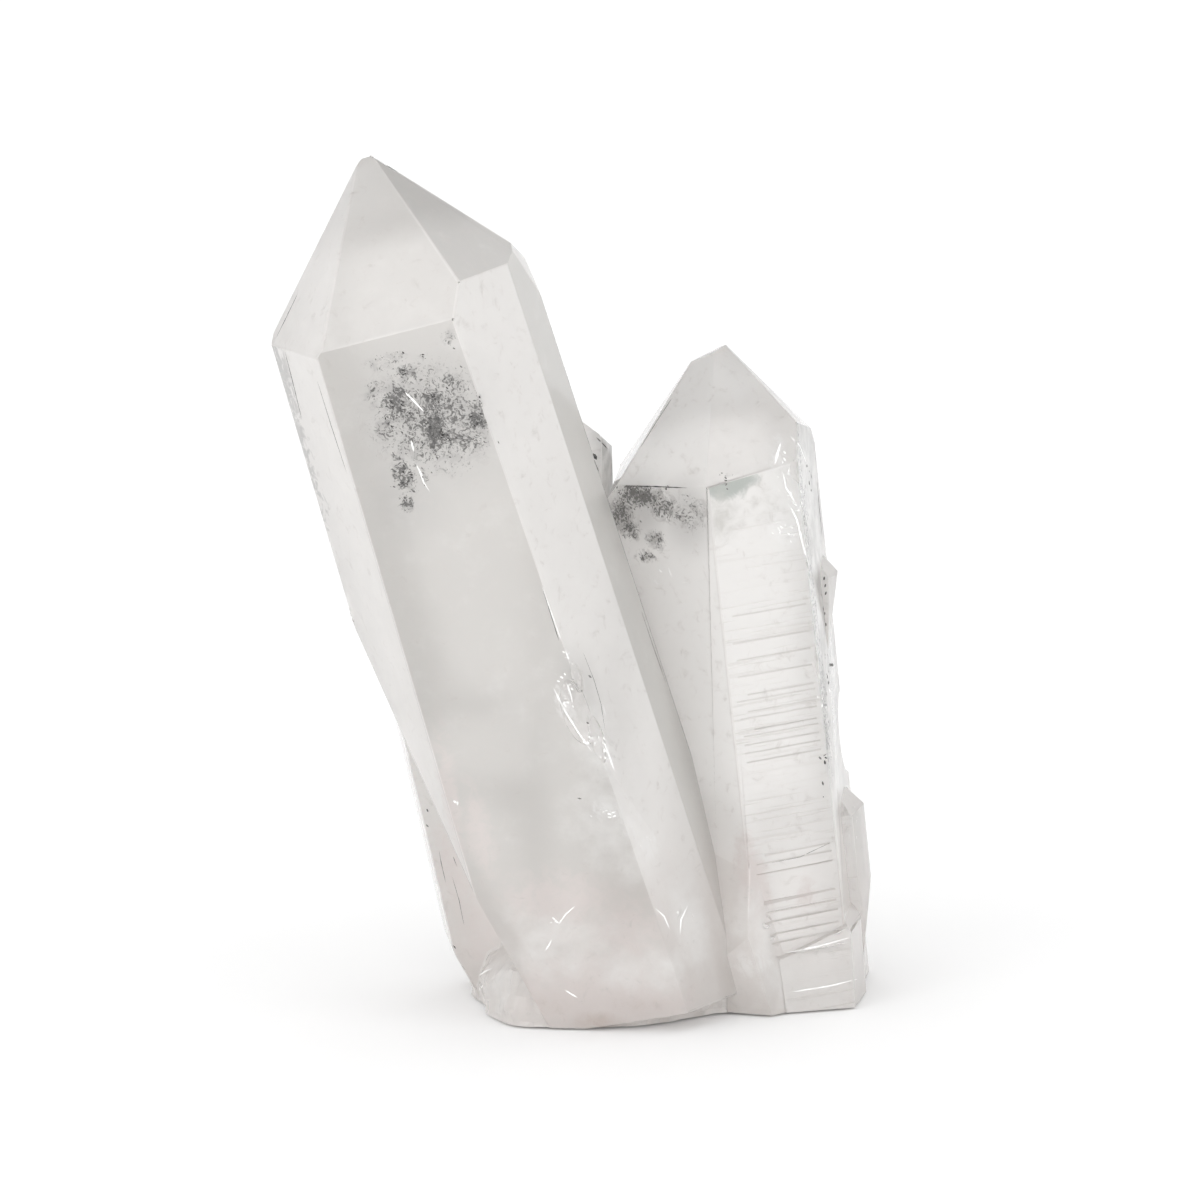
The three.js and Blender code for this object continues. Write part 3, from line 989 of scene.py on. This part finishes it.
def long_edges(mesh):
    """The edges between large flat faces, above the sawn base."""
    return [
        edge for edge in mesh.edges
        if len(edge.link_faces) == 2
        and edge.calc_length() > WORN_EDGE_LENGTH
        and min(face.calc_area() for face in edge.link_faces) > WORN_EDGE_FACE
        and edge.calc_face_angle(0.0) > WORN_EDGE_ANGLE
        and min(vert.co.z for vert in edge.verts) > 0.3 * MM
        and edge.is_convex
    ]


def compact(face):
    """True for a face that isn't a long sliver."""
    return face.calc_perimeter() ** 2 < SLIVER * face.calc_area()


def broken_faces(mesh):
    """The small faces of the chips and of the foot's broken side."""
    return [
        face for face in mesh.faces
        if face.calc_area() < BREAK_FACE
        and not (abs(face.normal.z) > 0.99 and face.calc_center_median().z < 0.1 * MM)
        and (compact(face) or face.calc_center_median().z < FOOT_HEIGHT)
    ]


def face_direction(axis, turn, angle):
    """The way that a crystal face looks: turned to the right from the front, and this far off the axis."""
    front = (Vector((0.0, -1.0, 0.0)) + axis * axis.y).normalized()
    right = axis.cross(front)
    around = math.cos(math.radians(turn)) * front + math.sin(math.radians(turn)) * right
    return math.sin(math.radians(angle)) * around + math.cos(math.radians(angle)) * axis


class QUARTZ_OT_dress_cluster(bpy.types.Operator):
    """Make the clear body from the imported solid, with worn edges and rough breaks"""

    bl_idname = "quartz.dress_cluster"
    bl_label = "Dress Cluster"

    def execute(self, context):
        body, _, _ = settings()
        piece = merged_copy()
        bpy.ops.object.mode_set(mode="EDIT")
        bpy.ops.mesh.select_mode(type="EDGE")
        mesh = edit_mesh(piece)
        select_only(piece, edges=long_edges(mesh))
        bpy.ops.mesh.bevel(
            offset=body.edge_width, segments=2, profile=0.6, affect="EDGES", clamp_overlap=False
        )
        bpy.ops.mesh.select_mode(type="FACE")
        mesh = edit_mesh(piece)
        mark = mesh.faces.layers.int.new("break_mark")
        rough = broken_faces(mesh)
        for face in rough:
            face[mark] = 1
        select_only(piece, faces=rough)
        bpy.ops.mesh.subdivide(number_cuts=2, smoothness=0.0)
        bpy.ops.object.mode_set(mode="OBJECT")
        self.roughen(piece, body.break_relief)
        self.paint_masks(piece)
        bpy.ops.object.shade_smooth_by_angle(angle=math.radians(20))
        finish_piece(piece, clear_quartz())
        piece.data.materials.append(sawn_base())
        for face in piece.data.polygons:
            if face.center.z < BASE_HEIGHT and face.normal.z < -0.9:
                face.material_index = 1
        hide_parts(NODE)
        return {"FINISHED"}

    def roughen(self, piece, relief):
        """Moves the inner points of the broken faces in and out by a coarse and a fine noise."""
        mesh = bmesh.new()
        mesh.from_mesh(piece.data)
        mark = mesh.faces.layers.int["break_mark"]
        for vert in mesh.verts:
            inner = all(face[mark] for face in vert.link_faces)
            if not inner or vert.co.z < BASE_HEIGHT:
                continue
            coarse = noise.noise(vert.co / (2.6 * MM))
            fine = noise.noise(vert.co / (0.9 * MM) + Vector((7.0, 3.0, 5.0)))
            vert.co -= vert.normal * relief * (0.35 + 0.5 * coarse + 0.3 * fine)
        bmesh.ops.triangulate(mesh, faces=[face for face in mesh.faces if len(face.verts) > 4])
        mesh.to_mesh(piece.data)
        mesh.free()

    def paint_masks(self, piece):
        """Marks the broken faces and the faces that carry markings or painted light and shade, for the
        material.
        """
        marks = [value.value for value in piece.data.attributes["break_mark"].data]
        looks = {name: face_direction(*given) for name, given in MARKED_FACES.items()}
        masks = {name: [] for name in ("broken", *looks)}
        for face, mark in zip(piece.data.polygons, marks):
            masks["broken"] += [float(mark)] * face.loop_total
            for name, way in looks.items():
                masks[name] += [float(face.normal.dot(way) > FACE_MATCH)] * face.loop_total
        for name, values in masks.items():
            piece.data.attributes.new(name, "FLOAT", "CORNER").data.foreach_set("value", values)
        piece.data.attributes.remove(piece.data.attributes["break_mark"])


# Shards and blades

# How widely shards scatter: about the middle of a crowd as a share of its half size, and in
# degrees about the crowd's flow and out of the face that they lie under.
CROWD_SPREAD = 0.55
FLOW_SCATTER = 28
TILT_SCATTER = 14
SHORTEST = 0.45
LONGEST = 1.45
# A blade's stations are this many pixels apart or closer.
BLADE_STEP = 4.0
BLADE_THICKNESS = 0.06 * MM
BLADE_SIDES = 4


def shard_template():
    """One small shard, a metre long before it is placed: a flat chip, pointed at both ends."""
    bpy.ops.object.select_all(action="DESELECT")
    bpy.ops.mesh.primitive_ico_sphere_add(subdivisions=1, radius=0.5)
    shard = bpy.context.object
    bpy.ops.object.mode_set(mode="EDIT")
    bpy.ops.mesh.select_all(action="SELECT")
    bpy.ops.transform.resize(value=(1.0, 0.48, 0.16))
    bpy.ops.object.mode_set(mode="OBJECT")
    return shard


def shard_places(sight, crowds, length, depths, seed):
    """A matrix for each shard of these crowds: thick in the middle of a crowd, thin at its rim."""
    draw = random.Random(seed)
    places = []
    for crowd in crowds:
        for _ in range(crowd.count):
            x = draw.gauss(crowd.x, CROWD_SPREAD * crowd.across)
            y = draw.gauss(crowd.y, CROWD_SPREAD * crowd.down)
            shallow, deep = depths
            depth = shallow + (deep - shallow) * draw.random() ** 3
            spin = draw.gauss(crowd.flow, FLOW_SCATTER)
            tilt = Matrix.Rotation(math.radians(draw.gauss(0, TILT_SCATTER)), 3, "X")
            long = length * draw.uniform(SHORTEST, LONGEST)
            if not sight.sees(x, y):
                continue
            middle, normal = sight.inside(x, y, depth)
            way = sight.flow(spin, normal)
            turn = Matrix((way, normal.cross(way), normal)).transposed() @ tilt
            places.append(Matrix.Translation(middle) @ turn.to_4x4() @ Matrix.Scale(long, 4))
    return places


def add_shards(name, places, material):
    """Copies one shard to every place and joins the copies in one piece."""
    shard = shard_template()
    corners = [vert.co.copy() for vert in shard.data.vertices]
    faces = [tuple(face.vertices) for face in shard.data.polygons]
    bpy.data.objects.remove(shard)
    points = []
    shapes = []
    for matrix in places:
        shapes += [tuple(len(points) + corner for corner in face) for face in faces]
        points += [matrix @ corner for corner in corners]
    mesh = bpy.data.meshes.new(name)
    mesh.from_pydata(points, [], shapes)
    piece = bpy.data.objects.new(name, mesh)
    bpy.context.scene.collection.objects.link(piece)
    return finish_piece(piece, material)


def along(points, step):
    """Pixels along a line, one every step or closer, with how far along it each one is."""
    lengths = [math.dist(a, b) for a, b in zip(points, points[1:])]
    total = sum(lengths)
    done = 0.0
    for (x0, y0), (x1, y1), length in zip(points, points[1:], lengths):
        count = max(2, math.ceil(length / step))
        for i in range(count):
            share = i / count
            yield x0 + (x1 - x0) * share, y0 + (y1 - y0) * share, (done + length * share) / total
        done += length
    yield *points[-1], 1.0


def blade_rings(sight, streak, draw):
    """The corners of a blade: a point at each end, and four-sided rings between them."""
    stations = [(*sight.inside(x, y), share) for x, y, share in along(streak.points, BLADE_STEP)]
    rings = []
    for i, (middle, normal, share) in enumerate(stations):
        before = stations[max(i - 1, 0)][0]
        after = stations[min(i + 1, len(stations) - 1)][0]
        side = normal.cross(after - before).normalized()
        swell = math.sqrt(math.sin(math.pi * share)) if 0.0 < share < 1.0 else 0.0
        half = 0.5 * streak.width * MM * swell * draw.uniform(0.6, 1.15)
        thick = 0.5 * BLADE_THICKNESS * swell
        if swell == 0.0:
            rings.append([middle])
            continue
        out, up = side * half, normal * thick
        rings.append([middle + out, middle + up, middle - out, middle - up])
    return rings


def add_blades(name, sight, streaks, seed, material):
    """Slim closed blades along lines that are seen on the crystal, joined in one piece."""
    draw = random.Random(seed)
    mesh = bmesh.new()
    for streak in streaks:
        outline = blade_rings(sight, streak, draw)
        rings = [[mesh.verts.new(point) for point in ring] for ring in outline]
        for ring, following in zip(rings, rings[1:]):
            for i in range(BLADE_SIDES):
                corners = [ring[i % len(ring)], ring[(i + 1) % len(ring)]]
                corners += [following[(i + 1) % len(following)], following[i % len(following)]]
                mesh.faces.new(list(dict.fromkeys(corners)))
    bmesh.ops.recalc_face_normals(mesh, faces=mesh.faces)
    data = bpy.data.meshes.new(name)
    mesh.to_mesh(data)
    mesh.free()
    piece = bpy.data.objects.new(name, data)
    bpy.context.scene.collection.objects.link(piece)
    return finish_piece(piece, material)


def dark_flaw_and_shade():
    """The material of specks and dark lines, and of the painted shade along the outlines, made once."""
    name = "dark_flaw_and_shade"
    _, flaws, _ = settings()
    found = bpy.data.materials.get(name)
    return found or flaw_material(name, flaws.speck_and_shade_colour, DARK_FLAW_AND_SHADE_LIGHT, cell=0.8 * MM, roughness=0.6)


def bright_flaw_and_highlight():
    """The material of flakes and bright cracks, and of the painted highlights on chipped edges, made once.
    """
    name = "bright_flaw_and_highlight"
    _, flaws, _ = settings()
    found = bpy.data.materials.get(name)
    return found or flaw_material(name, BRIGHT_FLAW_AND_HIGHLIGHT_DARK, flaws.flake_and_highlight_colour, cell=1.2 * MM, roughness=0.3)


class QUARTZ_OT_dark_specks(bpy.types.Operator):
    """Add the dark specks inside the two points and the painted shade in dark specks along their outlines
    """

    bl_idname = "quartz.dark_specks"
    bl_label = "Dark Specks"

    def execute(self, context):
        _, flaws, _ = settings()
        sight = Sight()
        crowds = (
            ("specks_left", LEFT_SPECKS, flaws.speck_length, (-0.02 * MM, 1.2 * MM), 11),
            ("specks_right", RIGHT_SPECKS, flaws.speck_length, (-0.02 * MM, 0.8 * MM), 12),
            # Painted shade along the outlines.
            ("outline_shade_specks", OUTLINE_SHADE_SPECKS, 1.5 * flaws.speck_length, (-0.02 * MM, 0.1 * MM), 13),
        )
        for name, given, length, depths, seed in crowds:
            add_shards(name, shard_places(sight, given, length, depths, seed), dark_flaw_and_shade())
        return {"FINISHED"}


class QUARTZ_OT_sparks(bpy.types.Operator):
    """Add the small bright flakes where the edges are chipped, partly painted highlights there"""

    bl_idname = "quartz.sparks"
    bl_label = "Bright Flakes"

    def execute(self, context):
        _, flaws, _ = settings()
        sight = Sight()
        places = shard_places(sight, FLAKES_AND_CHIP_HIGHLIGHTS, 1.3 * flaws.speck_length, (-0.02 * MM, 0.3 * MM), 21)
        add_shards("bright_flakes_and_highlights", places, bright_flaw_and_highlight())
        return {"FINISHED"}


class QUARTZ_OT_cracks(bpy.types.Operator):
    """Add the slim dark lines and the bright cracks, with the painted shade and highlights along some
    edges
    """

    bl_idname = "quartz.cracks"
    bl_label = "Cracks and Lines"

    def execute(self, context):
        sight = Sight()
        add_blades("dark_lines_and_edge_shade", sight, DARK_LINES_AND_EDGE_SHADE, seed=31, material=dark_flaw_and_shade())
        add_blades("bright_cracks_and_edge_highlights", sight, CRACKS_AND_EDGE_HIGHLIGHTS, seed=32, material=bright_flaw_and_highlight())
        return {"FINISHED"}


# Stage


class QUARTZ_OT_set_stage(bpy.types.Operator):
    """Add the pale floor, the white tent of light and the camera"""

    bl_idname = "quartz.set_stage"
    bl_label = "Set Stage"

    def execute(self, context):
        _, _, stage = settings()
        bpy.ops.object.select_all(action="DESELECT")
        bpy.ops.mesh.primitive_plane_add(size=8.0, location=(0.0, 0.0, -0.3 * MM))
        floor = bpy.context.object
        floor.name = "pale_floor"
        material, _, shader, _ = new_material("pale_floor")
        shader.inputs["Base Color"].default_value = opaque(FLOOR_COLOUR)
        shader.inputs["Roughness"].default_value = 0.9
        shader.inputs["Specular IOR Level"].default_value = 0.0
        floor.data.materials.append(material)

        world = bpy.data.worlds.new("white_tent")
        world.use_nodes = True
        context.scene.world = world
        tent = world.node_tree.nodes["Background"]
        tent.inputs["Color"].default_value = opaque(WHITE)
        tent.inputs["Strength"].default_value = stage.surround

        for name, toward, strength in SUNS:
            turn = toward.to_track_quat("-Z", "Y").to_euler()
            bpy.ops.object.light_add(type="SUN", rotation=turn)
            lamp = context.object
            lamp.name = name
            lamp.data.energy = strength
            lamp.data.angle = SUN_SPREAD

        tilt = math.pi / 2 - stage.camera_height_angle
        bpy.ops.object.camera_add(location=Sight().eye, rotation=(tilt, 0.0, 0.0))
        camera = context.object
        camera.data.lens = stage.lens
        camera.data.sensor_width = SENSOR
        context.scene.camera = camera
        context.scene.view_settings.view_transform = "Standard"
        return {"FINISHED"}


class QUARTZ_PT_cluster(bpy.types.Panel):
    """Lists the steps that dress the cluster"""

    bl_label = "Quartz Cluster"
    bl_idname = "QUARTZ_PT_cluster"
    bl_space_type = "VIEW_3D"
    bl_region_type = "UI"
    bl_category = "Quartz"

    def draw(self, context):
        for group in GROUPS:
            values = getattr(context.scene, group)
            for name in values.__annotations__:
                self.layout.prop(values, name)
        for operator in OPERATORS:
            self.layout.operator(operator.bl_idname)


OPERATORS = (
    QUARTZ_OT_dress_cluster,
    QUARTZ_OT_dark_specks,
    QUARTZ_OT_sparks,
    QUARTZ_OT_cracks,
    QUARTZ_OT_set_stage,
)
GROUPS = {"quartz_body": BodySettings, "quartz_flaws": FlawSettings, "quartz_stage": StageSettings}


def register():
    for group in (*GROUPS.values(), *OPERATORS, QUARTZ_PT_cluster):
        bpy.utils.register_class(group)
    for name, group in GROUPS.items():
        setattr(bpy.types.Scene, name, bpy.props.PointerProperty(type=group))


def unregister():
    for name in GROUPS:
        delattr(bpy.types.Scene, name)
    for group in reversed((*GROUPS.values(), *OPERATORS, QUARTZ_PT_cluster)):
        bpy.utils.unregister_class(group)


def main():
    register()
    bpy.ops.quartz.dress_cluster()
    bpy.ops.quartz.dark_specks()
    bpy.ops.quartz.sparks()
    bpy.ops.quartz.cracks()
    bpy.ops.quartz.set_stage()


if __name__ == "__main__":
    main()
